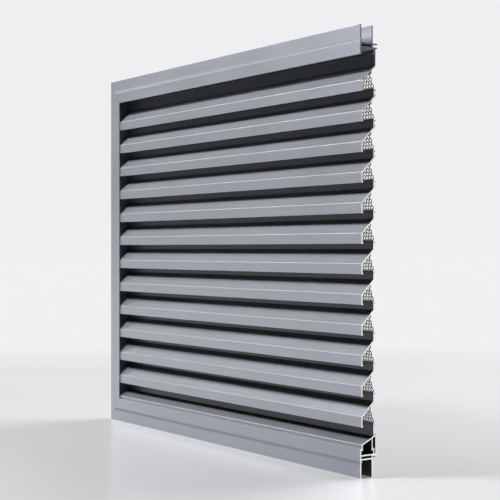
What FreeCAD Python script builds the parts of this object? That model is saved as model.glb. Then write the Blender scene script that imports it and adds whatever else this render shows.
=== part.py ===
"""Fixed louvre panel: a framed bank of weather blades in extruded aluminium, with guard mesh.

Frame of the part: X runs along the blades (the mitred jamb is at -X and the square cut end
is at +X), Y runs from the front face to the rear, and Z is up.  The origin is the middle of
the footprint, on the surface that the sill stands on.  Millimetres.

In a section, "depth" is measured back from the front face and "fall" inwards from the outer
edge of a frame profile, so the head, the jamb and the sill share one outline.
"""
import FreeCAD, Part
import math
import os
import Sketcher
from types import SimpleNamespace

BLADE_COUNT = 12
CLEAT_SCREWS = 2

SIZES = {
    "panel_length": (556.0, "outer edge of the jamb to the square cut end"),
    "head_drop": (60.6, "top edge to the fold of the first blade"),
    "blade_pitch": (33.3, "fold to fold"),
    "cap_top": (59.0, "underside of the sill to the top of the sill cap"),
    "wall": (1.5, "wall of the frame profiles"),
    "frame_depth": (18.0, "front flange face to rear flange face"),
    "frame_face": (32.3, "front flange of the head and the sill"),
    "jamb_face": (24.0, "front flange of the jamb"),
    "frame_channel": (19.4, "depth of the outer channel of the head and the sill"),
    "jamb_channel": (14.0, "depth of the outer channel of the jamb"),
    "web_gap": (2.7, "chamber between the two webs of the head and the sill"),
    "jamb_gap": (2.6, "chamber between the two webs of the jamb"),
    "rear_reach": (24.5, "front face to the rear ends of the webs"),
    "groove_fall": (17.3, "outer edge to the shadow groove of the head and the sill"),
    "jamb_groove_fall": (12.6, "outer edge to the shadow groove of the jamb"),
    "groove_run": (3.0, "gentle outer side of the groove in a front flange"),
    "groove_rise": (0.7, "steep inner side of the groove in a front flange"),
    "groove_deep": (0.6, "depth of the shadow groove"),
    "backing": (1.2, "rib behind the shadow groove"),
    "barb": (0.8, "reach of a snap barb"),
    "barb_tall": (1.2, "height of a snap barb"),
    "fin_depth": (18.9, "front face to the clip fin"),
    "fin_tall": (6.2, "height of the clip fin"),
    "mitre_gap": (0.25, "open joint along each mitre"),
    "blade_wall": (1.4, "wall of the blades and the sill cap"),
    "lip_drop": (11.6, "fold to the lower edge of a blade"),
    "lip_bead": (0.8, "thickened lower edge of a blade"),
    "lip_bevel": (0.5, "bevel on the lower edge of a blade"),
    "slope_rise": (16.0, "fold to the foot of the leg"),
    "leg_depth": (19.0, "front face to the leg of a blade"),
    "leg_tall": (9.6, "foot to the top of a blade's leg"),
    "hook_reach": (22.4, "front face to the rear of the leg's hooks"),
    "hook_drop": (3.0, "top of the leg to the lower edge of its hook"),
    "hook_wall": (0.9, "wall of the hooks"),
    "prong_drop": (6.5, "top of the leg to its lower prong"),
    "seat_deep": (1.1, "top of the leg to the seat of the mesh"),
    "seat_lip": (0.7, "lip in front of the seat of the mesh"),
    "slot_depth": (13.9, "front face to the mesh slot under a slope"),
    "slot_wide": (1.5, "width of the mesh slot"),
    "slot_rib": (0.9, "ribs on both sides of the mesh slot"),
    "slot_deep": (1.8, "depth of the mesh slot"),
    "mesh_thick": (0.5, "thickness of the mesh"),
    "cap_front": (36.4, "underside of the sill to the front edge of the cap"),
    "cap_nose": (1.6, "height of the front edge of the cap"),
    "cap_rise": (7.8, "front edge of the cap to the foot of its leg"),
    "tail_depth": (21.8, "front face to the tail of the cap"),
    "clasp_wall": (1.2, "wall of the cap's clasp and toe"),
    "carrier_wide": (20.0, "width of a blade carrier"),
    "carrier_thick": (2.0, "thickness of a blade carrier"),
    "carrier_inset": (70.0, "end of the blades to the middle of a carrier"),
    "carrier_over": (3.0, "carrier past the outer web at each end"),
    "clip_wide": (14.0, "width of a blade clip"),
    "clip_tall": (8.0, "height of the foot of a blade clip"),
    "clip_tongue": (0.8, "tongue of a clip behind the hook"),
    "rivet_bore": (2.5, "holes in the carriers and the clips"),
    "rivet_shank": (2.4, "shank of a rivet"),
    "rivet_head": (5.0, "head of a rivet or a carrier screw"),
    "head_high": (1.0, "height of those heads"),
    "port_screw": (2.0, "core of a carrier screw, between the webs"),
    "port_depth": (5.5, "length of a carrier screw"),
    "cleat_thick": (1.8, "thickness of a corner cleat"),
    "cleat_leg": (42.0, "length of each leg of a corner cleat"),
    "cleat_first": (14.0, "corner of a cleat to its first screw"),
    "cleat_pitch": (17.0, "first to second screw of a leg"),
    "cleat_bore": (3.0, "screw holes in the webs and the cleats"),
    "cleat_shank": (2.9, "shank of a cleat screw"),
    "cleat_head": (5.5, "head of a cleat screw"),
    "cleat_high": (1.6, "height of a cleat screw's head"),
    "edge_round": (0.4, "rounding of the outer edges of the frame"),
    "fold_round": (1.0, "rounding of a blade's fold"),
    "fit": (0.2, "running clearance between clipped pieces"),
    "slack": (0.15, "clearance of the cleats in their chambers"),
    "lip_gap": (0.3, "front flange or barb to the pieces that pass behind it"),
}


class Term:
    """A size with the text that binds it to the sheet, so outlines read as plain arithmetic."""

    def __init__(self, text, value):
        self.text = text
        self.value = float(value)

    @staticmethod
    def of(thing):
        return thing if isinstance(thing, Term) else Term(repr(float(thing)), thing)

    def join(self, sign, other, value):
        return Term(f"({self.text} {sign} {other.text})", value)

    def __add__(self, other):
        other = Term.of(other)
        return self.join("+", other, self.value + other.value)

    def __sub__(self, other):
        other = Term.of(other)
        return self.join("-", other, self.value - other.value)

    def __mul__(self, other):
        other = Term.of(other)
        return self.join("*", other, self.value * other.value)

    def __truediv__(self, other):
        other = Term.of(other)
        return self.join("/", other, self.value / other.value)

    def __radd__(self, other):
        return Term.of(other) + self

    def __rsub__(self, other):
        return Term.of(other) - self

    def __rmul__(self, other):
        return Term.of(other) * self


def root(term):
    return Term(f"sqrt({term.text})", math.sqrt(term.value))


doc = FreeCAD.newDocument("LouvrePanel")
sheet = doc.addObject("Spreadsheet::Sheet", "Sizes")
for row, (alias, (value, meaning)) in enumerate(SIZES.items(), start=1):
    sheet.set(f"A{row}", str(value))
    sheet.setAlias(f"A{row}", alias)
    sheet.set(f"B{row}", meaning)
doc.recompute()

size = SimpleNamespace(**{alias: Term(f"Sizes.{alias}", value) for alias, (value, _) in SIZES.items()})

# Places that follow from the sizes.
web_inner = size.frame_channel + 2 * size.wall + size.web_gap
jamb_inner = size.jamb_channel + 2 * size.wall + size.jamb_gap
blade_top = size.slope_rise + size.leg_tall
panel_height = size.head_drop + BLADE_COUNT * size.blade_pitch + size.cap_top - blade_top
panel_depth = size.rear_reach + size.carrier_thick + size.head_high
left_edge = -0.5 * size.panel_length
front_face = -0.5 * panel_depth
blade_start = jamb_inner + size.fit
blade_length = size.panel_length - blade_start
blade_front = size.wall + size.lip_gap
lowest_fold = size.cap_top - blade_top
leg_back = size.leg_depth + size.blade_wall
carrier_face = size.rear_reach + size.carrier_thick
nodes = []

EAST, REAR, UP = FreeCAD.Vector(1, 0, 0), FreeCAD.Vector(0, 1, 0), FreeCAD.Vector(0, 0, 1)


def add_body(label, east, back, up, outward=UP, along=EAST):
    """A body whose local origin stands at these distances from the lower left front corner,
    with its Z axis turned outward and its X axis along the given directions."""
    body = doc.addObject("PartDesign::Body", label)
    body.Label = label
    turn = FreeCAD.Rotation(along, outward.cross(along), outward, "ZXY")
    body.Placement = FreeCAD.Placement(FreeCAD.Vector(), turn)
    for axis, place in (("x", left_edge + east), ("y", front_face + back), ("z", Term.of(up))):
        body.setExpression(f"Placement.Base.{axis}", place.text)
    nodes.append(body)
    return body


def draw(body, role, loops, name, offset=None):
    """A sketch of straight-sided loops on one of the body's own planes, each corner bound."""
    sketch = body.newObject("Sketcher::SketchObject", f"{body.Name}_{name}")
    plane = next(item for item in body.Origin.OriginFeatures if item.Role == role)
    sketch.AttachmentSupport = [(plane, "")]
    sketch.MapMode = "FlatFace"
    if offset is not None:
        sketch.setExpression("AttachmentOffset.Base.z", offset.text)
    for loop in loops:
        corners = [(Term.of(across), Term.of(along)) for across, along in loop]
        points = [FreeCAD.Vector(across.value, along.value, 0) for across, along in corners]
        first = sketch.GeometryCount
        last = first + len(points) - 1
        sketch.addGeometry([Part.LineSegment(start, end)
                            for start, end in zip(points, points[1:] + points[:1])], False)
        sketch.addConstraint([Sketcher.Constraint("Coincident", line, 2, line + 1 if line < last else first, 1)
                              for line in range(first, last + 1)])
        for line, corner in enumerate(corners, start=first):
            for kind, place in zip(("DistanceX", "DistanceY"), corner):
                index = sketch.addConstraint(Sketcher.Constraint(kind, -1, 1, line, 1, place.value))
                sketch.setExpression(f"Constraints[{index}]", place.text)
    return sketch


def draw_holes(body, role, centres, bore, name, offset):
    """A sketch of equal round holes, each centre bound."""
    sketch = draw(body, role, [], name, offset)
    for across, along in centres:
        centre = FreeCAD.Vector(across.value, along.value, 0)
        circle = sketch.addGeometry(Part.Circle(centre, FreeCAD.Vector(0, 0, 1), bore.value / 2), False)
        for kind, place in (("DistanceX", across), ("DistanceY", along)):
            index = sketch.addConstraint(Sketcher.Constraint(kind, -1, 1, circle, 3, place.value))
            sketch.setExpression(f"Constraints[{index}]", place.text)
        index = sketch.addConstraint(Sketcher.Constraint("Diameter", circle, bore.value))
        sketch.setExpression(f"Constraints[{index}]", bore.text)
    return sketch


def pad(body, sketch, length, backwards=False):
    feature = body.newObject("PartDesign::Pad", f"{sketch.Name}_pad")
    feature.Profile = sketch
    feature.setExpression("Length", Term.of(length).text)
    feature.Reversed = backwards
    doc.recompute()
    return feature


def pocket(body, sketch, length=None):
    """Cut the sketch through everything both ways, or only this far below its plane."""
    before = body.Shape.Volume
    feature = body.newObject("PartDesign::Pocket", f"{sketch.Name}_cut")
    feature.Profile = sketch
    if length is None:
        feature.Type = "ThroughAll"
        feature.SideType = "Symmetric"
    else:
        feature.setExpression("Length", length.text)
    doc.recompute()
    if body.Shape.Volume >= before:
        raise RuntimeError(f"{sketch.Name} cuts nothing")
    return feature


def repeat(body, features, sketch, axis, step, count):
    """A row of copies of some features along an axis of their sketch."""
    row = body.newObject("PartDesign::LinearPattern", f"{body.Name}_row")
    row.Originals = features
    row.Direction = (sketch, [axis])
    row.setExpression("Length", (step * (count - 1)).text)
    row.Occurrences = count
    body.Tip = row
    doc.recompute()
    return row


def round_edges(body, feature, places, radius):
    """Round the edges that run along local X or Z through these (Y, Z) or (X, Y) places."""
    names = []
    for number, edge in enumerate(feature.Shape.Edges, start=1):
        low, high = edge.BoundBox.XMin, edge.BoundBox.XMax
        upright = high - low < 1e-6
        centre = edge.BoundBox.Center
        place = (centre.x, centre.y) if upright else (centre.y, centre.z)
        if edge.Length < 100 or not any(math.dist(place, (a.value, b.value)) < 1e-4 for a, b in places):
            continue
        names.append(f"Edge{number}")
    if len(names) != len(places):
        raise RuntimeError(f"{body.Label}: {len(names)} of {len(places)} edges found")
    fillet = body.newObject("PartDesign::Fillet", f"{body.Name}_round")
    fillet.Base = (feature, names)
    fillet.setExpression("Radius", radius.text)
    doc.recompute()
    return fillet


def frame_outline(face, channel, gap, groove, clips):
    """Outline and chamber of a frame profile, as (depth, fall) corners."""
    wall, deep, reach = size.wall, size.frame_depth, size.rear_reach
    inner = channel + 2 * wall + gap
    front = [(0, 0), (0, groove - size.groove_run), (size.groove_deep, groove),
             (0, groove + size.groove_rise), (0, face)]
    if clips:
        fin = size.fin_depth
        end = inner + size.fin_tall
        front += [(wall + size.barb, face), (wall + size.barb, face - size.barb_tall),
                  (wall, face - size.barb_tall), (wall, inner), (fin, inner),
                  (fin, end - size.barb_tall), (fin - size.barb, end - size.barb_tall),
                  (fin - size.barb, end), (fin + wall, end), (fin + wall, inner)]
    else:
        front += [(wall, face), (wall, inner)]
    rear = [(reach, inner), (reach, inner - wall), (deep, inner - wall), (deep, channel + wall),
            (reach, channel + wall), (reach, channel), (deep, channel), (deep, 0),
            (deep - wall, 0), (deep - wall, channel), (wall, channel)]
    rib = [(wall, groove + size.backing / 2), (wall + size.backing, groove + size.backing / 2),
           (wall + size.backing, groove - size.backing / 2), (wall, groove - size.backing / 2), (wall, 0)]
    chamber = [(wall, channel + wall), (deep - wall, channel + wall),
               (deep - wall, inner - wall), (wall, inner - wall)]
    return [front + rear + rib, chamber]


def make_rail(label, up, flip):
    """Head or sill: the same profile, mitred at its left end, with the cleat's screw holes."""
    face = size.frame_face
    body = add_body(label, 0, 0, up)
    loops = frame_outline(face, size.frame_channel, size.web_gap, size.groove_fall, True)
    height = (lambda fall: face - fall) if flip else Term.of
    loops = [[(depth, height(fall)) for depth, fall in loop] for loop in loops]
    solid = pad(body, draw(body, "YZ_Plane", loops, "section"), size.panel_length)
    corners = [(Term.of(0), height(0)), (size.frame_depth, height(0)), (Term.of(0), height(face))]
    round_edges(body, solid, corners, size.edge_round)
    mitre = [(Term.of(0), height(0)), (size.jamb_face, height(face)), (Term.of(0), height(face))]
    pocket(body, draw(body, "XZ_Plane", [mitre], "mitre"))
    over = size.web_gap / 2
    top = height(size.frame_channel) + over if flip else size.frame_channel + size.wall + over
    sketch = draw_holes(body, "XY_Plane", cleat_places(size.jamb_channel), size.cleat_bore, "holes", top)
    pocket(body, sketch, size.wall + 2 * over)


def cleat_places(channel):
    """Screw places along a cleat leg, as (along, depth) from the outer corner of the frame,
    for the leg that starts behind the other profile's channel."""
    start = channel + size.wall + size.cleat_first
    return [(start + step * size.cleat_pitch, size.frame_depth / 2) for step in range(CLEAT_SCREWS)]


def make_jamb():
    """The upright profile, mitred at both ends, with the screw holes of both cleats."""
    body = add_body("jamb_profile", 0, 0, 0)
    loops = frame_outline(size.jamb_face, size.jamb_channel, size.jamb_gap, size.jamb_groove_fall, False)
    loops = [[(fall, depth) for depth, fall in loop] for loop in loops]
    solid = pad(body, draw(body, "XY_Plane", loops, "section"), panel_height)
    corners = [(Term.of(0), Term.of(0)), (Term.of(0), size.frame_depth), (size.jamb_face, Term.of(0))]
    round_edges(body, solid, corners, size.edge_round)
    gap, across, face = size.mitre_gap, size.jamb_face, size.frame_face
    foot = [(0, 0), (across, 0), (across, face + gap), (0, gap)]
    head = [(east, panel_height - up) for east, up in foot]
    pocket(body, draw(body, "XZ_Plane", [foot, head], "mitres"))
    over = size.jamb_gap / 2
    low = [(middle, along) for along, middle in cleat_places(size.frame_channel)]
    holes = low + [(middle, panel_height - along) for middle, along in low]
    plane = size.jamb_channel + size.wall + over
    pocket(body, draw_holes(body, "YZ_Plane", holes, size.cleat_bore, "holes", plane), size.wall + 2 * over)


def slope_under(rise, run, front, depth):
    """Drop of a sloped plate's underside, seen at a depth, above the plate's front edge."""
    pitch = rise / run
    return (depth - front) * pitch - size.blade_wall * root(pitch * pitch + 1)


def leg_outline(top, leg):
    """Leg top shared by the blades and the cap: mesh seat, hook, clip groove and prong."""
    back, reach, wall = leg + size.blade_wall, size.hook_reach, size.hook_wall
    seat = top - size.seat_deep
    return [(leg, top), (leg + size.seat_lip, top), (leg + size.seat_lip, seat), (reach, seat),
            (reach, top - size.hook_drop), (reach - wall, top - size.hook_drop),
            (reach - wall, seat - wall), (back, seat - wall), (back, top - size.prong_drop),
            (reach, top - size.prong_drop), (reach, top - size.prong_drop - 1.5 * wall)]


def blade_outline(long_leg):
    """Z-shaped blade from the foot of its lip: lip, fold, slope and leg, back to the lip."""
    fold = size.lip_drop
    front, wall, rib = blade_front, size.blade_wall, size.slot_rib
    run = size.leg_depth - front

    def under(depth):
        return fold + slope_under(size.slope_rise, run, front, depth)

    slot, far = size.slot_depth, size.slot_depth + size.slot_wide
    foot = under(slot) - size.slot_deep
    outline = [(front + size.lip_bevel, 0), (front, size.lip_bevel), (front, fold)]
    if long_leg:
        leg = size.fin_depth + size.wall + size.fit
        top = fold + size.head_drop - web_inner - size.fit
        outline += [(leg, fold + (leg - front) * size.slope_rise / run), (leg, top),
                    (leg + wall, top), (leg + wall, under(leg + wall))]
    else:
        outline += [(size.leg_depth, fold + size.slope_rise)]
        outline += leg_outline(fold + blade_top, size.leg_depth)
        outline += [(leg_back, under(leg_back))]
    outline += [(far + rib, under(far + rib)), (far + rib, foot), (far, foot), (far, under(far)),
                (slot, under(slot)), (slot, foot), (slot - rib, foot), (slot - rib, under(slot - rib)),
                (front + wall, under(front + wall)), (front + wall, size.lip_bevel * 3),
                (front + wall + size.lip_bead, size.lip_bevel * 3), (front + wall + size.lip_bead, 0)]
    return outline


def fold_height(number):
    """Height of a blade's fold, blade 1 at the top."""
    return lowest_fold + (BLADE_COUNT + 1 - number) * size.blade_pitch


def make_blade(number):
    body = add_body(f"blade_{number:02d}", blade_start, 0, fold_height(number) - size.lip_drop)
    sketch = draw(body, "YZ_Plane", [blade_outline(long_leg=number == 1)], "section")
    solid = pad(body, sketch, blade_length)
    round_edges(body, solid, [(blade_front, size.lip_drop)], size.fold_round)


def make_mesh_strip(number):
    """A strip from the slot under one blade down to the seat on the leg of the next."""
    run = size.leg_depth - blade_front
    slot_top = slope_under(size.slope_rise, run, blade_front, size.slot_depth)
    seat = blade_top - size.seat_deep
    tall = size.blade_pitch + slot_top - seat - 2 * size.fit
    foot = size.leg_depth + size.seat_lip + 2 * size.fit
    head = size.slot_depth + size.fit
    lean = (foot - head) / tall
    across = size.mesh_thick * root(lean * lean + 1)
    body = add_body(f"mesh_strip_{number:02d}", blade_start, 0, fold_height(number + 1) + seat + size.fit)
    outline = [(foot, 0), (foot + across, 0), (head + across, tall), (head, tall)]
    pad(body, draw(body, "YZ_Plane", [outline], "section"), blade_length)


def make_sill_cap():
    """Sloped cover of the sill, clipped over the front flange and over the sill's fin."""
    front, top, wall = blade_front, size.cap_top, size.clasp_wall
    run = size.leg_depth - front
    pitch = size.cap_rise / run
    toe = size.wall + size.barb + size.lip_gap
    toe_foot = size.frame_face - 2 * size.barb_tall - size.fit
    clasp = size.fin_depth - size.barb - size.lip_gap
    clasp_foot = web_inner + size.fin_tall - 2 * size.barb_tall - size.fit
    tail, tail_back = size.tail_depth, size.tail_depth + size.blade_wall

    def under(depth):
        return size.cap_front + slope_under(size.cap_rise, run, front, depth)

    def over(depth):
        return size.cap_front + (depth - front) * pitch

    outline = [(front, size.cap_front - size.cap_nose), (front, size.cap_front),
               (size.leg_depth, over(size.leg_depth))]
    outline += leg_outline(top, size.leg_depth)
    outline += [(leg_back, top - size.prong_drop - 1.5 * size.hook_wall), (leg_back, over(leg_back)),
                (tail_back, over(tail_back)), (tail_back, web_inner + size.fit),
                (tail, web_inner + size.fit), (tail, under(tail)), (clasp, under(clasp)),
                (clasp, clasp_foot + size.barb_tall), (clasp + size.barb, clasp_foot + size.barb_tall),
                (clasp + size.barb, clasp_foot), (clasp - wall, clasp_foot),
                (clasp - wall, under(clasp - wall)), (toe + wall, under(toe + wall)),
                (toe + wall, toe_foot), (toe - size.barb * 0.8, toe_foot),
                (toe - size.barb * 0.8, toe_foot + size.barb_tall), (toe, toe_foot + size.barb_tall),
                (toe, size.cap_front - size.cap_nose)]
    body = add_body("sill_cap", blade_start, 0, 0)
    solid = pad(body, draw(body, "YZ_Plane", [outline], "section"), blade_length)
    round_edges(body, solid, [(front, size.cap_front)], size.fold_round)


def make_cleat(label, top):
    """L-shaped plate in the chambers of two mitred profiles, with two screw holes in each leg."""
    thick = size.cleat_thick
    long = size.cleat_leg
    wide = size.frame_depth - 2 * size.wall - 2 * size.slack
    east = size.jamb_channel + size.wall + size.slack
    corner = size.frame_channel + size.wall + size.slack
    body = add_body(label, east, size.wall + size.slack, panel_height - corner if top else corner)
    shape = [(0, 0), (long, 0), (long, thick), (thick, thick), (thick, long), (0, long)]
    if top:
        shape = [(across, -1 * Term.of(fall)) for across, fall in shape]
    pad(body, draw(body, "XZ_Plane", [shape], "angle"), wide, backwards=True)
    places = [size.cleat_first - size.slack + step * size.cleat_pitch for step in range(CLEAT_SCREWS)]
    upper = Term.of(0) + size.slack if top else thick + size.slack
    flat = [(along, wide / 2) for along in places]
    pocket(body, draw_holes(body, "XY_Plane", flat, size.cleat_bore, "rail_holes", upper), size.web_gap)
    tall = [(wide / 2, -1 * along if top else along) for along in places]
    edge = thick + size.slack
    pocket(body, draw_holes(body, "YZ_Plane", tall, size.cleat_bore, "jamb_holes", edge), size.web_gap)


def make_pins(label, place, outward, along, shank, length, head, high, step, count):
    """A row of headed pins: shanks inward from their seat, heads outward, in a row along."""
    body = add_body(label, *place, outward=outward, along=along)
    body.AllowCompound = True
    half = [(0, -1 * length), (shank / 2, -1 * length), (shank / 2, 0), (head / 2, 0),
            (head / 2, high * 0.5), (head / 2 - high * 0.5, high), (0, high)]
    sketch = draw(body, "XZ_Plane", [half], "half_section")
    pin = body.newObject("PartDesign::Revolution", f"{label}_pin")
    pin.Profile = sketch
    pin.ReferenceAxis = (sketch, ["V_Axis"])
    pin.Angle = 360
    doc.recompute()
    repeat(body, [pin], sketch, "H_Axis", step, count)


def make_cleat_screws(name, top):
    """Screws of one corner: two through the rail's web and two through the jamb's web."""
    grip = size.wall + size.slack + size.cleat_thick
    sizes = (size.cleat_shank, grip, size.cleat_head, size.cleat_high, size.cleat_pitch, CLEAT_SCREWS)
    along_rail, middle = cleat_places(size.jamb_channel)[0]
    seat = panel_height - size.frame_channel if top else size.frame_channel
    make_pins(f"{name}_rail_screws", (along_rail, middle, seat), UP if top else -UP, EAST, *sizes)
    along_jamb, middle = cleat_places(size.frame_channel)[-1 if top else 0]
    height = panel_height - along_jamb if top else along_jamb
    make_pins(f"{name}_jamb_screws", (size.jamb_channel, middle, height), -EAST, UP, *sizes)


def carrier_middle(side):
    if side == "left":
        return blade_start + size.carrier_inset
    return size.panel_length - size.carrier_inset


# The first clip sits in the groove of the cap's leg, and each next one a blade pitch higher.
clip_base = size.cap_top - size.prong_drop
clip_centre = clip_base + (size.prong_drop - size.hook_drop) / 2
port_height = size.frame_channel + size.wall + size.web_gap / 2


def make_carrier(side):
    """Flat bar behind the blades, from the webs of the sill to the webs of the head."""
    foot = size.frame_channel - size.carrier_over
    body = add_body(f"{side}_carrier", carrier_middle(side) - size.carrier_wide / 2, size.rear_reach, foot)
    plan = [(0, 0), (size.carrier_wide, 0), (size.carrier_wide, size.carrier_thick),
            (0, size.carrier_thick)]
    pad(body, draw(body, "XY_Plane", [plan], "plan"), panel_height - 2 * foot)
    centres = [(size.carrier_wide / 2, height - foot) for height in (port_height, panel_height - port_height)]
    centres += [(size.carrier_wide / 2, clip_centre + step * size.blade_pitch - foot)
                for step in range(BLADE_COUNT)]
    pocket(body, draw_holes(body, "XZ_Plane", centres, size.rivet_bore, "holes", Term.of(0)))


def make_clips(side):
    """Clips hooked behind the legs of the blades and the cap, one height for each leg."""
    body = add_body(f"{side}_blade_clips", carrier_middle(side) - size.clip_wide / 2, 0, clip_base)
    body.AllowCompound = True
    inside = leg_back + size.fit
    tongue = inside + size.clip_tongue
    mouth = size.prong_drop - size.hook_drop
    foot = mouth / 2 - size.clip_tall / 2
    neck = size.hook_reach + size.fit
    outline = [(inside, size.fit), (neck, size.fit), (neck, foot), (size.rear_reach, foot),
               (size.rear_reach, foot + size.clip_tall), (neck, foot + size.clip_tall),
               (neck, mouth - size.fit), (tongue, mouth - size.fit), (tongue, mouth + size.clip_tongue),
               (inside, mouth + size.clip_tongue)]
    sketch = draw(body, "YZ_Plane", [outline], "section")
    clip = pad(body, sketch, size.clip_wide)
    bore = draw_holes(body, "XZ_Plane", [(size.clip_wide / 2, mouth / 2)], size.rivet_bore, "bore", Term.of(0))
    hole = pocket(body, bore)
    repeat(body, [clip, hole], sketch, "V_Axis", size.blade_pitch, BLADE_COUNT)


def make_fixings(side):
    """Rivets through a carrier into its clips, and two screws into the ports of the webs."""
    middle = carrier_middle(side)
    grip = carrier_face - leg_back - 2 * size.fit
    make_pins(f"{side}_carrier_rivets", (middle, carrier_face, clip_centre), REAR, UP, size.rivet_shank,
              grip, size.rivet_head, size.head_high, size.blade_pitch, BLADE_COUNT)
    make_pins(f"{side}_carrier_screws", (middle, carrier_face, port_height), REAR, UP, size.port_screw,
              size.carrier_thick + size.port_depth, size.rivet_head, size.head_high,
              panel_height - 2 * port_height, 2)


def write_parts():
    """Check every object and every piece, then write one STEP file for each piece."""
    doc.recompute()
    for item in doc.Objects:
        if {"Invalid", "Error"} & set(item.State):
            raise RuntimeError(f"{item.Label} failed: {item.State}")
    for body in nodes:
        if body.Shape.isNull() or not body.Shape.isValid():
            raise RuntimeError(f"{body.Label} has no valid shape")
    os.makedirs("parts", exist_ok=True)
    for body in nodes:
        body.Shape.exportStep(f"parts/{body.Label}.step")
        print(body.Label, len(body.Shape.Solids), round(body.Shape.Volume, 1))


make_rail("head_profile", panel_height - size.frame_face, flip=True)
make_rail("sill_profile", 0, flip=False)
make_jamb()
make_sill_cap()
for number in range(1, BLADE_COUNT + 1):
    make_blade(number)
    make_mesh_strip(number)
for name in ("top", "bottom"):
    make_cleat(f"{name}_corner_cleat", top=name == "top")
    make_cleat_screws(f"{name}_cleat", top=name == "top")
for side in ("left", "right"):
    make_carrier(side)
    make_clips(side)
    make_fixings(side)
write_parts()
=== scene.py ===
"""Looks of a fixed louvre panel: satin extrusions, expanded mesh, carriers and fixings.

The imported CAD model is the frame, and nothing in it is moved.  Metres, +Z up, the front face
towards -Y, the mitred jamb at -X and the saw-cut end at +X.
"""
import math

import bmesh
import bpy
from mathutils import Euler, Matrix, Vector


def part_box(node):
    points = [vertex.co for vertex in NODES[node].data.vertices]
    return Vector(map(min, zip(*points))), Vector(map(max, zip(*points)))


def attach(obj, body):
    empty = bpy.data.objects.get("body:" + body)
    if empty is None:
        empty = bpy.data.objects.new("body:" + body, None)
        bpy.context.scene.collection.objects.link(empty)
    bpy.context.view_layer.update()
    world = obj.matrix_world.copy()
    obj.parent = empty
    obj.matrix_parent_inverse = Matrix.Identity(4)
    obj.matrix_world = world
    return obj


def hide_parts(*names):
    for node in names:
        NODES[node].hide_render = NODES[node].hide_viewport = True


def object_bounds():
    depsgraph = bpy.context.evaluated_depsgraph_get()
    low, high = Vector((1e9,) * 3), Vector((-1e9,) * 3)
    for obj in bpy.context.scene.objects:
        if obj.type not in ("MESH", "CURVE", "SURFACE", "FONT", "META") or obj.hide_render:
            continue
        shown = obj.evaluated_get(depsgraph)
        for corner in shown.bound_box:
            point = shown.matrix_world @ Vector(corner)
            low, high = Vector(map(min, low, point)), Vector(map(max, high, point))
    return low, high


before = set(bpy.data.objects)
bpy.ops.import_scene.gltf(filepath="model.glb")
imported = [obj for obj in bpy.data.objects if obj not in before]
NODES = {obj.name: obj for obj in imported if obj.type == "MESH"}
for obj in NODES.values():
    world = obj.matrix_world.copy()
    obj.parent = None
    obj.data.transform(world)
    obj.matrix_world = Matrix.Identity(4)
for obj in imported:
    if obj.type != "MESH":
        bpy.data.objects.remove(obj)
CAD_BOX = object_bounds()

bl_info = {
    "name": "Louvre panel finishes",
    "version": (1, 0, 0),
    "blender": (4, 5, 0),
    "location": "View3D > Sidebar > Louvre",
    "description": "Finishes, expanded mesh and fixings of a fixed louvre panel",
    "category": "Object",
}

BODY = "root"
MM = 0.001
BLADES = sorted(name for name in NODES if name.startswith("blade_"))
STRIPS = sorted(name for name in NODES if name.startswith("mesh_strip_"))
RAILS = ("head_profile", "sill_profile")
JAMB = "jamb_profile"
CAP = "sill_cap"
SIDES = ("left", "right")
ENDS = ("top", "bottom")
CUT_END = CAD_BOX[1].x
FRONT = CAD_BOX[0].y
HEAD_WEB = CAD_BOX[1].z - 26 * MM    # under the webs of the head
HEAD_FOOT = CAD_BOX[1].z - 48.6 * MM    # below the foot of the head
SHADE_EDGE = 1.6 * MM    # depth over which the painted recess shade sets in
GLOW_START = (0.55, -0.25, 0)    # spot on the floor from which it brightens outwards
GLOW_REACH = 2.1    # from there to where the floor is as bright as the backdrop


# ---------------------------------------------------------------- sizes and colours

class FinishSettings(bpy.types.PropertyGroup):
    frame_colour: bpy.props.FloatVectorProperty(
        name="Frame colour", description="Satin colour of the head, the jamb and the sill",
        subtype="COLOR", size=3, min=0, max=1, default=(0.435, 0.45, 0.50))
    blade_colour: bpy.props.FloatVectorProperty(
        name="Blade colour", description="Satin colour of the blades and the sill cap",
        subtype="COLOR", size=3, min=0, max=1, default=(0.425, 0.44, 0.485))
    raw_colour: bpy.props.FloatVectorProperty(
        name="Cut metal", description="Bare aluminium where the profiles are sawn",
        subtype="COLOR", size=3, min=0, max=1, default=(0.86, 0.86, 0.86))
    mill_colour: bpy.props.FloatVectorProperty(
        name="Mill aluminium", description="Untreated aluminium of the carriers and the cleats",
        subtype="COLOR", size=3, min=0, max=1, default=(0.62, 0.63, 0.64))
    sheet_colour: bpy.props.FloatVectorProperty(
        name="Sheet colour", description="Expanded steel sheet of the guard mesh",
        subtype="COLOR", size=3, min=0, max=1, default=(0.29, 0.27, 0.23))
    clip_colour: bpy.props.FloatVectorProperty(
        name="Clip colour", description="Moulded polyamide of the blade clips",
        subtype="COLOR", size=3, min=0, max=1, default=(0.025, 0.026, 0.028))
    # Painted shade: inner faces deeper than this behind the front are darkened where the light does not reach
    # into the louvre.
    shade_start: bpy.props.FloatProperty(
        name="Shelter start", description="Depth behind the front where the rain no longer washes a blade",
        subtype="DISTANCE", unit="LENGTH", min=0, default=13 * MM)
    die_line: bpy.props.FloatProperty(
        name="Die line", description="Spacing of the fine lines that the die leaves along a profile",
        subtype="DISTANCE", unit="LENGTH", min=0, default=0.45 * MM)


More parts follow.
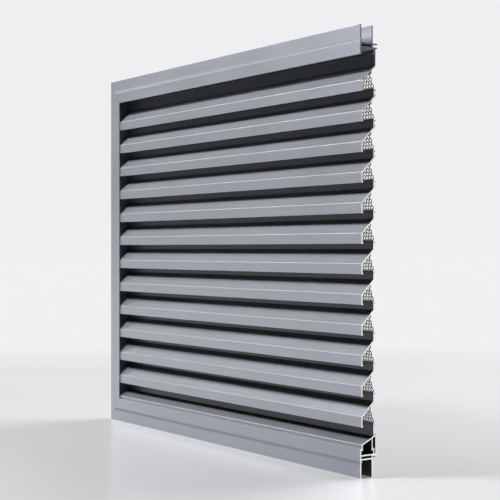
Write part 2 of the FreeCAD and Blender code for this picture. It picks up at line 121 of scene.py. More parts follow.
class MeshSettings(bpy.types.PropertyGroup):
    diamond_wide: bpy.props.FloatProperty(
        name="Diamond width", description="Short way of one diamond, along the blades",
        subtype="DISTANCE", unit="LENGTH", min=MM, default=4.2 * MM)
    diamond_tall: bpy.props.FloatProperty(
        name="Diamond height", description="Long way of one diamond, up the strip",
        subtype="DISTANCE", unit="LENGTH", min=MM, default=7 * MM)
    strand: bpy.props.FloatProperty(
        name="Strand", description="Width of one strand of the expanded sheet",
        subtype="DISTANCE", unit="LENGTH", min=0.1 * MM, default=1.45 * MM)
    gauge: bpy.props.FloatProperty(
        name="Gauge", description="Thickness of the expanded sheet",
        subtype="DISTANCE", unit="LENGTH", min=0.1 * MM, default=0.35 * MM)
    bond: bpy.props.FloatProperty(
        name="Bond", description="Length of the flat where two strands meet",
        subtype="DISTANCE", unit="LENGTH", min=0, default=0.4 * MM)
    twist: bpy.props.FloatProperty(
        name="Twist", description="Turn of each strand out of the sheet",
        subtype="ANGLE", unit="ROTATION", default=math.radians(-12))


class FixingSettings(bpy.types.PropertyGroup):
    mandrel: bpy.props.FloatProperty(
        name="Mandrel", description="Diameter of the broken stem in a rivet's head",
        subtype="DISTANCE", unit="LENGTH", min=0.5 * MM, default=1.3 * MM)
    recess: bpy.props.FloatProperty(
        name="Recess", description="Width across the cross recess of a screw",
        subtype="DISTANCE", unit="LENGTH", min=0.5 * MM, default=2.7 * MM)
    recess_slot: bpy.props.FloatProperty(
        name="Recess slot", description="Width of one wing of the cross recess",
        subtype="DISTANCE", unit="LENGTH", min=0.2 * MM, default=0.6 * MM)
    round_steps: bpy.props.IntProperty(
        name="Round steps", description="Faces round a turned head", min=8, max=64, default=28)


class StageSettings(bpy.types.PropertyGroup):
    floor_colour: bpy.props.FloatVectorProperty(
        name="Floor", description="Colour of the pale floor",
        subtype="COLOR", size=3, min=0, max=1, default=(0.47, 0.475, 0.485))
    lens: bpy.props.FloatProperty(
        name="Lens", description="Focal length of the camera in millimetres", min=10, default=85)
    azimuth: bpy.props.FloatProperty(
        name="Azimuth", description="Camera turned round the panel from the front to the cut end",
        subtype="ANGLE", unit="ROTATION", default=math.radians(54.4))
    eye_height: bpy.props.FloatProperty(
        name="Eye height", description="Camera above the floor",
        subtype="DISTANCE", unit="LENGTH", default=0.249)
    past_end: bpy.props.FloatProperty(
        name="Past the end", description="Camera beyond the cut end, along the blades",
        subtype="DISTANCE", unit="LENGTH", default=0.972)
    in_front: bpy.props.FloatProperty(
        name="In front", description="Camera in front of the front face",
        subtype="DISTANCE", unit="LENGTH", default=0.843)
    key_power: bpy.props.FloatProperty(
        name="Key light", description="Power of the soft light above the front", unit="POWER",
        min=0, default=41)
    side_strength: bpy.props.FloatProperty(
        name="Side light", description="Strength of the light beside the jamb", min=0, default=0.55)
    fill_power: bpy.props.FloatProperty(
        name="Fill light", description="Power of the soft light over the floor behind", unit="POWER",
        min=0, default=85)
    end_power: bpy.props.FloatProperty(
        name="End light", description="Power of the soft light beyond the cut end", unit="POWER",
        min=0, default=1.8)
    room_strength: bpy.props.FloatProperty(
        name="Room light", description="Strength of the even light of the room", min=0, default=0.02)
    backdrop_colour: bpy.props.FloatVectorProperty(
        name="Backdrop colour", description="Colour of the pale backdrop and of the lit far floor",
        subtype="COLOR", size=3, min=0, max=1, default=(0.865, 0.865, 0.885))
    backdrop_strength: bpy.props.FloatProperty(
        name="Backdrop", description="Brightness of the pale backdrop behind the panel", min=0, default=1.0)


# ---------------------------------------------------------------- shader maths

class Value:
    """A socket that carries a number, so that shader maths is written as Python."""

    def __init__(self, finish, socket):
        self.finish = finish
        self.socket = socket

    def math(self, operation, *others):
        return self.finish.node("ShaderNodeMath", {"operation": operation}, dict(enumerate((self, *others))))

    def __add__(self, other):
        return self.math("ADD", other)

    def __sub__(self, other):
        return self.math("SUBTRACT", other)

    def __mul__(self, other):
        return self.math("MULTIPLY", other)

    def __truediv__(self, other):
        return self.math("DIVIDE", other)

    def __gt__(self, other):
        return self.math("GREATER_THAN", other)

    def __lt__(self, other):
        return self.math("LESS_THAN", other)

    def __rsub__(self, other):
        return self.finish.node("ShaderNodeMath", {"operation": "SUBTRACT"}, {0: other, 1: self})

    __radd__ = __add__
    __rmul__ = __mul__

    def power(self, other):
        return self.math("POWER", other)

    def clamp(self):
        return self.finish.node("ShaderNodeClamp", {}, {"Value": self})


class Finish:
    """A material being built: one method makes every node."""

    def __init__(self, name):
        self.material = bpy.data.materials.new(name)
        self.material.use_nodes = True
        self.tree = self.material.node_tree
        self.tree.nodes.clear()
        self.place = self.node("ShaderNodeTexCoord", output="Object")

    def node(self, kind, settings=None, inputs=None, output=0):
        made = self.tree.nodes.new(kind)
        for name, value in (settings or {}).items():
            if name == "stops":
                self.set_stops(made.color_ramp, value)
            else:
                setattr(made, name, value)
        for name, value in (inputs or {}).items():
            if isinstance(value, Value):
                self.tree.links.new(value.socket, made.inputs[name])
            else:
                made.inputs[name].default_value = value
        return Value(self, made.outputs[output])

    @staticmethod
    def set_stops(ramp, stops):
        for index, (position, level) in enumerate(stops):
            stop = ramp.elements[index] if index < 2 else ramp.elements.new(position)
            stop.position = position
            stop.color = (level, level, level, 1)

    def stretched(self, scale):
        """Object coordinates multiplied per axis."""
        return self.node("ShaderNodeVectorMath", {"operation": "MULTIPLY"}, {0: self.place, 1: scale})

    def noise(self, vector, scale, detail=2.0, roughness=0.5):
        return self.node("ShaderNodeTexNoise", {}, {
            "Vector": vector, "Scale": scale, "Detail": detail, "Roughness": roughness})

    def ramp(self, value, *stops):
        return self.node("ShaderNodeValToRGB", {"stops": stops}, {"Fac": value})

    def blend(self, factor, first, second):
        """Mix of two colours."""
        rgba = [colour if isinstance(colour, Value) else (*colour, 1) for colour in (first, second)]
        return self.node("ShaderNodeMix", {"data_type": "RGBA"},
                         {0: factor, 6: rgba[0], 7: rgba[1]}, output=2)

    def tint(self, colour, amount):
        """A colour with its brightness multiplied by a varying amount."""
        grey = self.node("ShaderNodeCombineColor", {}, {"Red": amount, "Green": amount, "Blue": amount})
        rgba = colour if isinstance(colour, Value) else (*colour, 1)
        return self.node("ShaderNodeMix", {"data_type": "RGBA", "blend_type": "MULTIPLY"},
                         {0: 1.0, 6: rgba, 7: grey}, output=2)

    def bump(self, height, distance, strength=1.0):
        return self.node("ShaderNodeBump", {}, {"Height": height, "Distance": distance, "Strength": strength})

    def axis(self, vector, name):
        return self.node("ShaderNodeSeparateXYZ", {}, {0: vector}, output=name)

    def close(self, **inputs):
        """Finish with a Principled shader; names are its sockets' with _ for a space."""
        sockets = {name.replace("_", " "): value for name, value in inputs.items()}
        for name, value in sockets.items():
            if isinstance(value, tuple) and len(value) == 3:
                sockets[name] = (*value, 1)
        shader = self.node("ShaderNodeBsdfPrincipled", {}, sockets)
        self.node_output(shader)
        return self.material

    def node_output(self, shader):
        output = self.tree.nodes.new("ShaderNodeOutputMaterial")
        self.tree.links.new(shader.socket, output.inputs["Surface"])


# ---------------------------------------------------------------- materials

def satin_extrusion(name, colour, raw, die_line, along, shade_depth=None):
    """Satin anodised extrusion: fine die lines along one axis, soft cloudiness, a raw sawn end with painted
    shade darkening it towards the top in place of the pale floor's reflection in the lower ends, dust on what
    faces up that is also painted shade toning down the light there, and painted shade on inner faces beyond
    a given depth, where the light does not reach."""
    finish = Finish(name)
    across = 1 / die_line
    lines = finish.noise(finish.stretched([3 if axis == along else across for axis in range(3)]), 1, 3)
    broad = finish.noise(finish.stretched([0.8 if axis == along else across / 9 for axis in range(3)]), 1, 2)
    cloud = finish.noise(finish.place, 9, 3)
    grain = finish.noise(finish.place, 2600, 1)
    facing = finish.node("ShaderNodeNewGeometry", output="True Normal")
    east, rear, up = (finish.axis(facing, axis) for axis in "XYZ")
    along_blade, depth, height = (finish.axis(finish.place, axis) for axis in "XYZ")
    sawn = (east > 0.9) * (along_blade > CUT_END - 0.5 * MM)
    # Dust on what faces up, which also serves as painted shade toning down how bright the light makes the
    # slopes.
    dust = up.clamp() * (0.16 + cloud * 0.10)
    brightness = (0.90 + lines * 0.08 + broad * 0.06 + cloud * 0.06) * (1 - dust)
    # Painted shade on inner faces beyond the shade depth, where the light does not reach.
    if shade_depth:
        inward = (rear < 0.1) * (east > -0.5)
        beyond = depth + cloud * 1.2 * MM - shade_depth
        recess_shade = (beyond / SHADE_EDGE).clamp() * inward * (height < HEAD_WEB)
        brightness = brightness * (1 - recess_shade * 0.8)
    satin = finish.tint(colour, brightness)
    teeth = finish.noise(finish.stretched((1, 260, 1900)), 1, 2)
    # Painted shade on the sawn end: darker towards the top and darkest on the head, in place of the pale
    # floor's reflection that lights the lower ends.
    sawn_shade = ((height - 0.1) / 0.36).clamp() * 0.4 + (height > HEAD_FOOT) * 0.3
    bare = finish.tint(raw, (0.82 + teeth * 0.3) * (1 - sawn_shade))
    rough = 0.26 + lines * 0.10 + cloud * 0.08 + grain * 0.04
    relief = lines * 0.5 + broad * 0.3 + grain * 0.2 + sawn * teeth
    return finish.close(
        Base_Color=finish.blend(sawn, satin, bare),
        Metallic=0.72 + sawn * 0.2,
        Roughness=rough - sawn * 0.06,
        Normal=finish.bump(relief, 0.02 * MM, 0.5))


def mill_aluminium(name, colour, along):
    """Rolled or drawn aluminium as it leaves the mill: streaks, light scratches, dull patches."""
    finish = Finish(name)
    streaks = finish.noise(finish.stretched([5 if axis == along else 1700 for axis in range(3)]), 1, 4)
    patches = finish.noise(finish.place, 45, 4, 0.6)
    scratch = finish.ramp(finish.noise(finish.stretched((900, 900, 40)), 1, 1), (0.66, 0.0), (0.70, 1.0))
    brightness = 0.84 + streaks * 0.18 + patches * 0.12
    return finish.close(
        Base_Color=finish.tint(colour, brightness),
        Metallic=0.92,
        Roughness=0.30 + patches * 0.16 + streaks * 0.06,
        Normal=finish.bump(streaks + scratch * 0.4, 0.02 * MM, 0.6))


def expanded_sheet(name, colour):
    """Weathered steel sheet: dull faces with dust, and painted shade on the faces that look down, which
    darkens the sheared edges.
    """
    finish = Finish(name)
    tone = finish.noise(finish.place, 240, 3)
    dust = finish.ramp(finish.noise(finish.place, 70, 4, 0.6), (0.42, 0.0), (0.72, 1.0))
    shear = finish.noise(finish.stretched((600, 2600, 2600)), 1, 2)
    # Painted shade: faces that look down are darkened and kept free of dust.
    under = (finish.axis(finish.node("ShaderNodeNewGeometry", output="True Normal"), "Z") * -1).clamp()
    sheet = finish.tint(colour, (0.85 + tone * 0.3) * (1 - under * 0.75))
    return finish.close(
        Base_Color=finish.blend(dust * 0.4 * (1 - under), sheet, (0.36, 0.34, 0.31)),
        Metallic=0.55 - dust * 0.3,
        Roughness=0.42 + dust * 0.25 + tone * 0.06,
        Normal=finish.bump(shear, 0.03 * MM, 0.6))


def bright_metal(name, colour, roughness):
    """Turned or pressed metal of the fixings: fine tool marks and small dull spots."""
    finish = Finish(name)
    marks = finish.noise(finish.place, 3800, 2)
    spots = finish.ramp(finish.noise(finish.place, 700, 3), (0.52, 0.0), (0.66, 1.0))
    return finish.close(
        Base_Color=finish.tint(colour, 1.02 - spots * 0.18 + marks * 0.04),
        Metallic=0.95,
        Roughness=roughness + spots * 0.16,
        Normal=finish.bump(marks, 0.03 * MM, 0.4))


def moulded_polyamide(name, colour):
    """Black glass-filled polyamide: spark-eroded texture with pale fibre flecks."""
    finish = Finish(name)
    texture = finish.noise(finish.place, 2400, 2)
    fibres = finish.ramp(finish.noise(finish.stretched((900, 2600, 900)), 1, 2), (0.64, 0.0), (0.70, 1.0))
    return finish.close(
        Base_Color=finish.blend(fibres * 0.35, colour, (0.10, 0.10, 0.10)),
        Roughness=0.48 + texture * 0.16,
        Normal=finish.bump(texture, 0.04 * MM, 0.6))


def pale_floor(name, colour, glow):
    """Satin painted floor with a faint mottle, lit from within as it runs out to the backdrop."""
    finish = Finish(name)
    mottle = finish.noise(finish.place, 3, 3)
    reach = finish.node("ShaderNodeVectorMath", {"operation": "DISTANCE"},
                        {0: finish.place, 1: GLOW_START}, output="Value")
    far = (reach / GLOW_REACH).clamp()
    return finish.close(
        Base_Color=finish.tint(colour, (1 - far) * (1 + mottle * 0.04)),
        Roughness=0.20 + mottle * 0.05,
        Specular_IOR_Level=0.5,
        Emission_Color=finish.tint(glow, far),
        Emission_Strength=1.0)


def dress(names, material):
    """Give CAD nodes a material."""
    for name in names:
        mesh = NODES[name].data
        mesh.materials.clear()
        mesh.materials.append(material)


# ---------------------------------------------------------------- Geometry Nodes helpers

class Tree:
    """A Geometry Nodes tree being built, with named inputs."""

    def __init__(self, name):
        self.group = bpy.data.node_groups.new(name, "GeometryNodeTree")
        self.entry = self.group.nodes.new("NodeGroupInput")
        self.exit = self.group.nodes.new("NodeGroupOutput")
        self.group.interface.new_socket("Geometry", in_out="OUTPUT", socket_type="NodeSocketGeometry")
        self.keys = {}

    def input(self, name, kind):
        made = self.group.interface.new_socket(name, in_out="INPUT", socket_type=f"NodeSocket{kind}")
        self.keys[name] = made.identifier
        return self.entry.outputs[name]

    def node(self, kind, settings=None, inputs=None, output=0):
        made = self.group.nodes.new(kind)
        for name, value in (settings or {}).items():
            setattr(made, name, value)
        for name, value in (inputs or {}).items():
            sources = value if isinstance(value, list) else [value]
            for source in sources:
                if isinstance(source, bpy.types.NodeSocket):
                    self.group.links.new(source, made.inputs[name])
                else:
                    made.inputs[name].default_value = source
        return made.outputs[output]

    def math(self, operation, *values):
        return self.node("ShaderNodeMath", {"operation": operation}, dict(enumerate(values)))

    def finish(self, geometry, material, smooth):
        real = self.node("GeometryNodeRealizeInstances", {}, {0: geometry})
        shaded = self.node("GeometryNodeSetShadeSmooth", {}, {"Geometry": real, "Shade Smooth": smooth})
        dressed = self.node("GeometryNodeSetMaterial", {}, {"Geometry": shaded, "Material": material})
        self.group.links.new(dressed, self.exit.inputs[0])

    def bake(self, name, values):
        """Run the tree with these inputs and return its result as a plain mesh object."""
        holder = bpy.data.objects.new(name, bpy.data.meshes.new(name))
        bpy.context.scene.collection.objects.link(holder)
        modifier = holder.modifiers.new("Build", "NODES")
        modifier.node_group = self.group
        for key, value in values.items():
            modifier[self.keys[key]] = value
        graph = bpy.context.evaluated_depsgraph_get()
        mesh = bpy.data.meshes.new_from_object(holder.evaluated_get(graph), depsgraph=graph)
        holder.modifiers.remove(modifier)
        empty, holder.data = holder.data, mesh
        bpy.data.meshes.remove(empty)
        mesh.name = name
        if not len(mesh.polygons):
            raise RuntimeError(f"{name} came out empty")
        return holder


def stand_for(piece, slot, *nodes):
    """Ride the panel and stand for CAD nodes, which are hidden; the slot is not used."""
    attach(piece, BODY)
    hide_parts(*nodes)


# ---------------------------------------------------------------- expanded mesh

def expanded_tree():
    """Expanded metal: rows of zigzag strands, each row meeting the next at its knuckles."""
    tree = Tree("Expanded metal")
    knuckles = tree.input("Knuckles", "Int")
    rows = tree.input("Rows", "Int")
    step = tree.input("Knuckle spacing", "Float")
    fall = tree.input("Row spacing", "Float")
    swing = tree.input("Swing", "Float")
    bond = tree.input("Bond", "Float")
    width = tree.input("Strand width", "Float")
    gauge = tree.input("Sheet gauge", "Float")
    twist = tree.input("Strand twist", "Float")
    middle = tree.input("Middle", "Vector")
    turn = tree.input("Turn", "Rotation")
    material = tree.input("Sheet finish", "Material")

    points = tree.math("MULTIPLY", knuckles, 2)
    lattice = tree.node("GeometryNodeMeshGrid", {}, {
        "Size X": tree.math("SUBTRACT", points, 1), "Size Y": tree.math("SUBTRACT", rows, 1),
        "Vertices X": points, "Vertices Y": rows})
    ends = [tree.node("GeometryNodeInputMeshEdgeVertices", output=output) for output in (2, 3)]
    apart = tree.node("ShaderNodeVectorMath", {"operation": "SUBTRACT"}, {0: ends[0], 1: ends[1]})
    sideways = tree.node("ShaderNodeSeparateXYZ", {}, {0: apart}, output="Y")
    strands = tree.node("GeometryNodeMeshToCurve", {}, {
        "Mesh": lattice, "Selection": tree.math("LESS_THAN", tree.math("ABSOLUTE", sideways), 0.5)})

    place = tree.node("GeometryNodeInputPosition")
    column, row = (
        tree.math("ROUND", tree.math("ADD", tree.node("ShaderNodeSeparateXYZ", {}, {0: place}, output=axis),
                                     tree.math("MULTIPLY", tree.math("SUBTRACT", count, 1), 0.5)))
        for axis, count in (("X", points), ("Y", rows)))
    knuckle = tree.math("FLOOR", tree.math("MULTIPLY", tree.math("ADD", column, 0.25), 0.5))
    side = tree.math("SUBTRACT", column, tree.math("MULTIPLY", knuckle, 2))
    upper = tree.math("FLOORED_MODULO", tree.math("ADD", tree.math("ADD", knuckle, row), 0.25), 2)
    way = tree.math("SUBTRACT", 1, tree.math("MULTIPLY", tree.math("FLOOR", upper), 2))

    def centred(number, count, spacing):
        half = tree.math("MULTIPLY", tree.math("SUBTRACT", count, 1), 0.5)
        return tree.math("MULTIPLY", tree.math("SUBTRACT", number, half), spacing)

    along = tree.math("ADD", centred(knuckle, knuckles, step),
                      tree.math("MULTIPLY", tree.math("SUBTRACT", side, 0.5), bond))
    across = tree.math("ADD", centred(row, rows, fall), tree.math("MULTIPLY", way, swing))
    drawn = tree.node("GeometryNodeSetPosition", {}, {
        "Geometry": strands, "Position": tree.node("ShaderNodeCombineXYZ", {}, {0: along, 1: across})})
    upright = tree.node("GeometryNodeSetCurveNormal", {"mode": "Z_UP"}, {"Curve": drawn})
    twisted = tree.node("GeometryNodeSetCurveTilt", {}, {"Curve": upright, "Tilt": twist})
    section = tree.node("GeometryNodeCurvePrimitiveQuadrilateral", {}, {"Width": width, "Height": gauge})
    solid = tree.node("GeometryNodeCurveToMesh", {}, {
        "Curve": twisted, "Profile Curve": section, "Fill Caps": True})
    placed = tree.node("GeometryNodeTransform", {}, {
        "Geometry": solid, "Translation": middle, "Rotation": turn})
    tree.finish(placed, material, smooth=False)
    return tree


# ---------------------------------------------------------------- turned fixings

def lathe(name, profile, steps):
    """A closed solid of revolution about Z from (radius, height) points, bottom to top."""
    solid = bmesh.new()
    rings = []
    for radius, height in profile:
        if radius == 0:
            rings.append([solid.verts.new((0, 0, height))])
            continue
        turns = [2 * math.pi * step / steps for step in range(steps)]
        rings.append([solid.verts.new((radius * math.cos(turn), radius * math.sin(turn), height))
                      for turn in turns])
    for low, high in zip(rings, rings[1:]):
        for step in range(steps):
            after = (step + 1) % steps
            corners = [ring[turn % len(ring)] for ring, turn in
                       ((low, step), (low, after), (high, after), (high, step))]
            solid.faces.new(list(dict.fromkeys(corners)))
    bmesh.ops.recalc_face_normals(solid, faces=solid.faces)
    mesh = bpy.data.meshes.new(name)
    solid.to_mesh(mesh)
    solid.free()
    return mesh


def place_object(name, data):
    made = bpy.data.objects.new(name, data)
    bpy.context.scene.collection.objects.link(made)
    return made


def rivet_pattern(head, shank, length, high, settings):
    """Domed blind rivet seen from outside: flange, dome, pulled mandrel in its well."""
    stem = settings.mandrel / 2
    profile = [(0, -length), (shank * 0.86, -length), (shank, -length * 0.93), (shank, 0), (head * 0.96, 0),
               (head, high * 0.12), (head * 0.98, high * 0.26), (head * 0.86, high * 0.58),
               (head * 0.68, high * 0.84), (stem * 1.5, high * 0.98), (stem * 1.25, high * 0.92),
               (stem * 1.2, high * 0.55), (stem, high * 0.52), (stem * 0.96, high * 0.86),
               (stem * 0.7, high * 0.97), (0, high * 0.93)]
    return place_object("rivet_pattern", lathe("rivet_pattern", profile, settings.round_steps))


def screw_pattern(head, shank, length, high, settings):
    """Pan head screw with a cross recess and a threaded shank."""
    thread = 0.55 * MM
    turns = int(length * 0.9 / thread)
    profile = [(0, -length), (shank * 0.35, -length), (shank * 0.8, -length + thread)]
    for turn in range(1, turns):
        foot = -length + thread * (turn + 0.25)
        profile += [(shank * 0.8, foot), (shank, foot + thread * 0.3), (shank, foot + thread * 0.4)]
    profile += [(shank * 0.9, 0), (head * 0.97, 0), (head, high * 0.1), (head * 0.99, high * 0.35),
                (head * 0.9, high * 0.7), (head * 0.72, high * 0.9), (head * 0.5, high), (0, high)]
    body = place_object("screw_pattern", lathe("screw_pattern", profile, settings.round_steps))
    for turn in range(2):
        wing = bpy.data.meshes.new("recess_wing")
        solid = bmesh.new()
        bmesh.ops.create_cube(solid, size=1)
        wide, deep = (settings.recess, settings.recess_slot)[::1 if turn else -1], high * 1.2
        for vertex in solid.verts:
            taper = 1 if vertex.co.z > 0 else 0.6
            vertex.co = Vector((vertex.co.x * wide[0] * taper, vertex.co.y * wide[1] * taper,
                                vertex.co.z * deep + high * 0.9))
        solid.to_mesh(wing)
        solid.free()
        tool = place_object("recess_wing", wing)
        cut = body.modifiers.new("Recess", "BOOLEAN")
        cut.operation, cut.solver, cut.object = "DIFFERENCE", "EXACT", tool
        graph = bpy.context.evaluated_depsgraph_get()
        body.data = bpy.data.meshes.new_from_object(body.evaluated_get(graph), depsgraph=graph)
        body.modifiers.clear()
        bpy.data.objects.remove(tool)
    return body


def row_tree():
    """One pattern repeated at equal steps between two points."""
    tree = Tree("Fixing row")
    pattern = tree.input("Pattern", "Object")
    count = tree.input("Count", "Int")
    first = tree.input("First", "Vector")
    last = tree.input("Last", "Vector")
    turn = tree.input("Turn", "Rotation")
    spin = tree.input("Spin", "Float")
    seed = tree.input("Seed", "Int")
    material = tree.input("Metal", "Material")
    line = tree.node("GeometryNodeMeshLine", {"mode": "END_POINTS"},
                     {"Count": count, "Start Location": first, "Offset": last})
    shape = tree.node("GeometryNodeObjectInfo", {"transform_space": "ORIGINAL"},
                      {"Object": pattern, "As Instance": False}, output="Geometry")
    placed = tree.node("GeometryNodeInstanceOnPoints", {},
                       {"Points": line, "Instance": shape, "Rotation": turn})
    angle = tree.node("FunctionNodeRandomValue", {"data_type": "FLOAT"},
                      {2: 0.0, 3: spin, "Seed": seed}, output=1)
    about = tree.node("ShaderNodeCombineXYZ", {}, {2: angle})
    spun = tree.node("GeometryNodeRotateInstances", {}, {"Instances": placed, "Rotation": about})
    tree.finish(spun, material, smooth=True)
    return tree


def outward_turn(direction):
    return direction.to_track_quat("Z", "X").to_euler()


def fixing_row(node, tree, pattern, count, outward, along, head, high, spin, seed, material, slot):
    """Replace a CAD row of fixings, whose box gives the seat and the first and last centres."""
    low, high_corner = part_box(node)
    middle = (low + high_corner) / 2
    side = abs(outward.dot(high_corner - low)) / 2
    seat = middle + outward * (side - high)
    reach = along * (abs(along.dot(high_corner - low)) / 2 - head)
    piece = tree.bake(f"{node}_formed", {
        "Pattern": pattern, "Count": count, "First": seat - reach, "Last": seat + reach,
        "Turn": outward_turn(outward), "Spin": spin, "Seed": seed, "Metal": material})
    stand_for(piece, slot, node)


# ---------------------------------------------------------------- operators

class LOUVRE_OT_frame_profiles(bpy.types.Operator):
    """Satin finish on the head, the sill and the jamb, with die lines along each profile"""
    bl_idname = "louvre.frame_profiles"
    bl_label = "Frame profiles"

    def execute(self, context):
        look = context.scene.louvre_finish
        # Both finishes carry painted shade on inner faces beyond the given depth.
        rail = satin_extrusion("satin_frame_rail", look.frame_colour, look.raw_colour, look.die_line, 0,
                               FRONT + look.shade_start)
        upright = satin_extrusion("satin_frame_jamb", look.frame_colour, look.raw_colour, look.die_line, 2,
                                  FRONT + 2.5 * MM)
        dress(RAILS, rail)
        dress([JAMB], upright)
        return {"FINISHED"}


class LOUVRE_OT_blades(bpy.types.Operator):
    """Satin finish on the blades and the sill cap"""
    bl_idname = "louvre.blades"
    bl_label = "Blades"

    def execute(self, context):
        look = context.scene.louvre_finish
        # With painted shade on inner faces beyond the shade start.
        satin = satin_extrusion("satin_blade", look.blade_colour, look.raw_colour, look.die_line, 0,
                                FRONT + look.shade_start)
        dress([*BLADES, CAP], satin)
        return {"FINISHED"}


class LOUVRE_OT_guard_mesh(bpy.types.Operator):
    """Expanded metal mesh in place of each plain strip"""
    bl_idname = "louvre.guard_mesh"
    bl_label = "Guard mesh"

    def execute(self, context):
        sizes = context.scene.louvre_mesh
        sheet = expanded_sheet("expanded_sheet", context.scene.louvre_finish.sheet_colour)
        tree = expanded_tree()
        for name in STRIPS:
            low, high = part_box(name)
            tall, deep = high.z - low.z, high.y - low.y
            width, length = math.hypot(tall, deep), high.x - low.x
            rows = round(width / (sizes.diamond_tall / 2))
            knuckles = round(length / (sizes.diamond_wide / 2))
            fall = (width - sizes.strand * 0.1) / rows
            piece = tree.bake(f"{name}_expanded", {
                "Knuckles": knuckles, "Rows": rows, "Row spacing": fall,
                "Knuckle spacing": (length - sizes.bond) / (knuckles - 1),
                "Swing": (fall - sizes.strand * 0.9) / 2, "Bond": sizes.bond,
                "Strand width": sizes.strand, "Sheet gauge": sizes.gauge, "Strand twist": sizes.twist,
                "Middle": (low + high) / 2,
                "Turn": Euler((math.pi / 2 + math.atan2(deep, tall), 0, 0)),
                "Sheet finish": sheet})
            stand_for(piece, "mesh_steel", name)
        return {"FINISHED"}


class LOUVRE_OT_carriers(bpy.types.Operator):
    """Mill finish on the blade carriers and the corner cleats"""
    bl_idname = "louvre.carriers"
    bl_label = "Carriers and cleats"

    def execute(self, context):
        look = context.scene.louvre_finish
        bar = mill_aluminium("mill_bar", look.mill_colour, 2)
        dress([f"{side}_carrier" for side in SIDES], bar)
        dress([f"{end}_corner_cleat" for end in ENDS], bar)
        return {"FINISHED"}


class LOUVRE_OT_clips(bpy.types.Operator):
    """Moulded finish on the blade clips"""
    bl_idname = "louvre.clips"
    bl_label = "Blade clips"

    def execute(self, context):
        black = moulded_polyamide("black_polyamide", context.scene.louvre_finish.clip_colour)
        dress([f"{side}_blade_clips" for side in SIDES], black)
        return {"FINISHED"}


class LOUVRE_OT_rivets(bpy.types.Operator):
    """Blind rivets through the carriers, with their pulled mandrels"""
    bl_idname = "louvre.rivets"
    bl_label = "Rivets"

    def execute(self, context):
        sizes = context.scene.louvre_fixings
        metal = bright_metal("rivet_aluminium", (0.72, 0.73, 0.74), 0.30)
        tree = row_tree()
        low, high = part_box("left_carrier_rivets")
        head, head_high = (high.x - low.x) / 2, 1.0 * MM
        pattern = rivet_pattern(head, 1.2 * MM, high.y - low.y - head_high, head_high, sizes)
        for seed, side in enumerate(SIDES):
            fixing_row(f"{side}_carrier_rivets", tree, pattern, len(BLADES), Vector((0, 1, 0)),
                       Vector((0, 0, 1)), head, head_high, 2 * math.pi, seed, metal, "rivet_aluminium")
        bpy.data.objects.remove(pattern)
        return {"FINISHED"}


class LOUVRE_OT_screws(bpy.types.Operator):
    """Cross recess screws of the carriers and the corner cleats"""
    bl_idname = "louvre.screws"
    bl_label = "Screws"

    def execute(self, context):
        sizes = context.scene.louvre_fixings
        metal = bright_metal("screw_steel", (0.60, 0.59, 0.57), 0.26)
        tree = row_tree()
        east, rear, up = Vector((1, 0, 0)), Vector((0, 1, 0)), Vector((0, 0, 1))
        rows = [([f"{side}_carrier_screws" for side in SIDES], [rear] * 2, up, 1.0 * MM, 1.0 * MM),
                ([f"{end}_cleat_rail_screws" for end in ENDS], [up, -up], east, 1.45 * MM, 1.6 * MM),
                ([f"{end}_cleat_jamb_screws" for end in ENDS], [-east] * 2, up, 1.45 * MM, 1.6 * MM)]
        for names, outwards, along, shank, head_high in rows:
            low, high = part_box(names[0])
            spread = high - low
            across = Vector((1, 1, 1)) - Vector(map(abs, outwards[0])) - along
            head = across.dot(spread) / 2
            length = abs(outwards[0].dot(spread)) - head_high
            pattern = screw_pattern(head, shank, length, head_high, sizes)
            for seed, (name, outward) in enumerate(zip(names, outwards)):
                fixing_row(name, tree, pattern, 2, outward, along, head, head_high,
                           2 * math.pi, seed + 5, metal, "screw_steel")
            bpy.data.objects.remove(pattern)
        return {"FINISHED"}


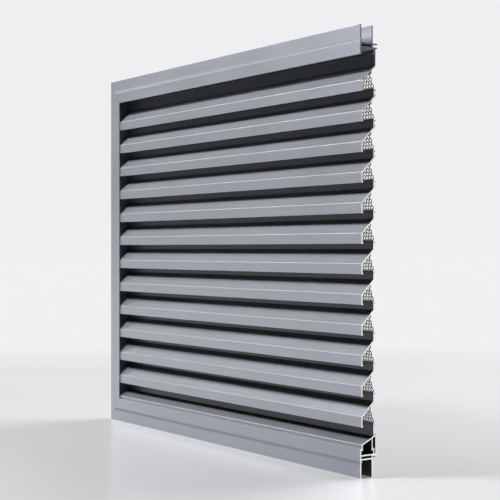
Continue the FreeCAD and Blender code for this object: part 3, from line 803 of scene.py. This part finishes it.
class LOUVRE_OT_stage(bpy.types.Operator):
    """Pale floor, soft studio light and the camera"""
    bl_idname = "louvre.stage"
    bl_label = "Stage"

    def execute(self, context):
        stage = context.scene.louvre_stage
        self.make_floor(stage)
        self.make_lights(context.scene, stage)
        self.make_camera(context.scene, stage)
        return {"FINISHED"}

    def make_floor(self, stage):
        reach = 30.0
        mesh = bpy.data.meshes.new("floor")
        mesh.from_pydata([(-reach, -reach, 0), (reach, -reach, 0), (reach, reach, 0), (-reach, reach, 0)],
                         [], [(0, 1, 2, 3)])
        mesh.materials.append(pale_floor("pale_floor", stage.floor_colour, stage.backdrop_colour))
        floor = place_object("floor", mesh)

    def make_lights(self, scene, stage):
        world = bpy.data.worlds.new("room")
        world.use_nodes = True
        tree = world.node_tree
        background = tree.nodes["Background"]
        background.inputs["Color"].default_value = (*stage.backdrop_colour, 1)
        seen = tree.nodes.new("ShaderNodeLightPath").outputs["Is Camera Ray"]
        level = tree.nodes.new("ShaderNodeMix")
        level.inputs[2].default_value = stage.room_strength
        level.inputs[3].default_value = stage.backdrop_strength
        tree.links.new(seen, level.inputs[0])
        tree.links.new(level.outputs[0], background.inputs["Strength"])
        scene.world = world
        scene.view_settings.view_transform = "Standard"
        middle = (CAD_BOX[0] + CAD_BOX[1]) / 2
        self.add_softbox("key", middle + Vector((-0.27, -0.63, 0.73)) * 1.7, middle, 0.45, stage.key_power)
        self.add_softbox("fill", Vector((0.1, 1.1, 1.8)), Vector((0.4, 0.3, 0)), 1.1, stage.fill_power)
        self.add_softbox("end", Vector((1.6, 0.9, 0.35)), Vector((0.556, 0, 0.2)), 0.5, stage.end_power)
        self.add_sun("side", Vector((-0.82, -0.33, 0.45)), math.radians(18), stage.side_strength)

    def add_softbox(self, name, place, aim, size, power):
        light = bpy.data.lights.new(name, "AREA")
        light.size = size
        self.hang(light, place, aim - place, power)

    def add_sun(self, name, direction, spread, strength):
        light = bpy.data.lights.new(name, "SUN")
        light.angle = spread
        self.hang(light, Vector(), -direction, strength)

    def hang(self, light, place, towards, energy):
        light.energy = energy
        lamp = place_object(light.name, light)
        lamp.location = place
        lamp.rotation_euler = towards.to_track_quat("-Z", "Y").to_euler()

    def make_camera(self, scene, stage):
        camera = bpy.data.cameras.new("camera")
        camera.lens = stage.lens
        camera.shift_y = -0.0017
        camera.clip_end = 100
        holder = bpy.data.objects.new("camera", camera)
        holder.location = (CUT_END + stage.past_end, FRONT - stage.in_front, stage.eye_height)
        holder.rotation_euler = (math.pi / 2, 0, stage.azimuth)
        scene.collection.objects.link(holder)
        scene.camera = holder


class LOUVRE_PT_panel(bpy.types.Panel):
    """Every step of the panel, in the order it is built"""
    bl_idname = "LOUVRE_PT_panel"
    bl_label = "Louvre panel"
    bl_space_type = "VIEW_3D"
    bl_region_type = "UI"
    bl_category = "Louvre"

    def draw(self, context):
        for step in STEPS:
            self.layout.operator(step.bl_idname)
        for group, _ in GROUPS.values():
            settings = getattr(context.scene, group)
            for name in settings.bl_rna.properties.keys():
                if name not in ("rna_type", "name"):
                    self.layout.prop(settings, name)


STEPS = (LOUVRE_OT_frame_profiles, LOUVRE_OT_blades, LOUVRE_OT_guard_mesh, LOUVRE_OT_carriers,
         LOUVRE_OT_clips, LOUVRE_OT_rivets, LOUVRE_OT_screws, LOUVRE_OT_stage)
GROUPS = {"finish": ("louvre_finish", FinishSettings), "mesh": ("louvre_mesh", MeshSettings),
          "fixings": ("louvre_fixings", FixingSettings), "stage": ("louvre_stage", StageSettings)}


def register():
    for name, group in GROUPS.values():
        bpy.utils.register_class(group)
        setattr(bpy.types.Scene, name, bpy.props.PointerProperty(type=group))
    for step in STEPS:
        bpy.utils.register_class(step)
    bpy.utils.register_class(LOUVRE_PT_panel)


def unregister():
    bpy.utils.unregister_class(LOUVRE_PT_panel)
    for step in reversed(STEPS):
        bpy.utils.unregister_class(step)
    for name, group in reversed(GROUPS.values()):
        delattr(bpy.types.Scene, name)
        bpy.utils.unregister_class(group)


def main():
    register()
    for step in STEPS:
        family, name = step.bl_idname.split(".")
        getattr(getattr(bpy.ops, family), name)()


if __name__ == "__main__":
    main()
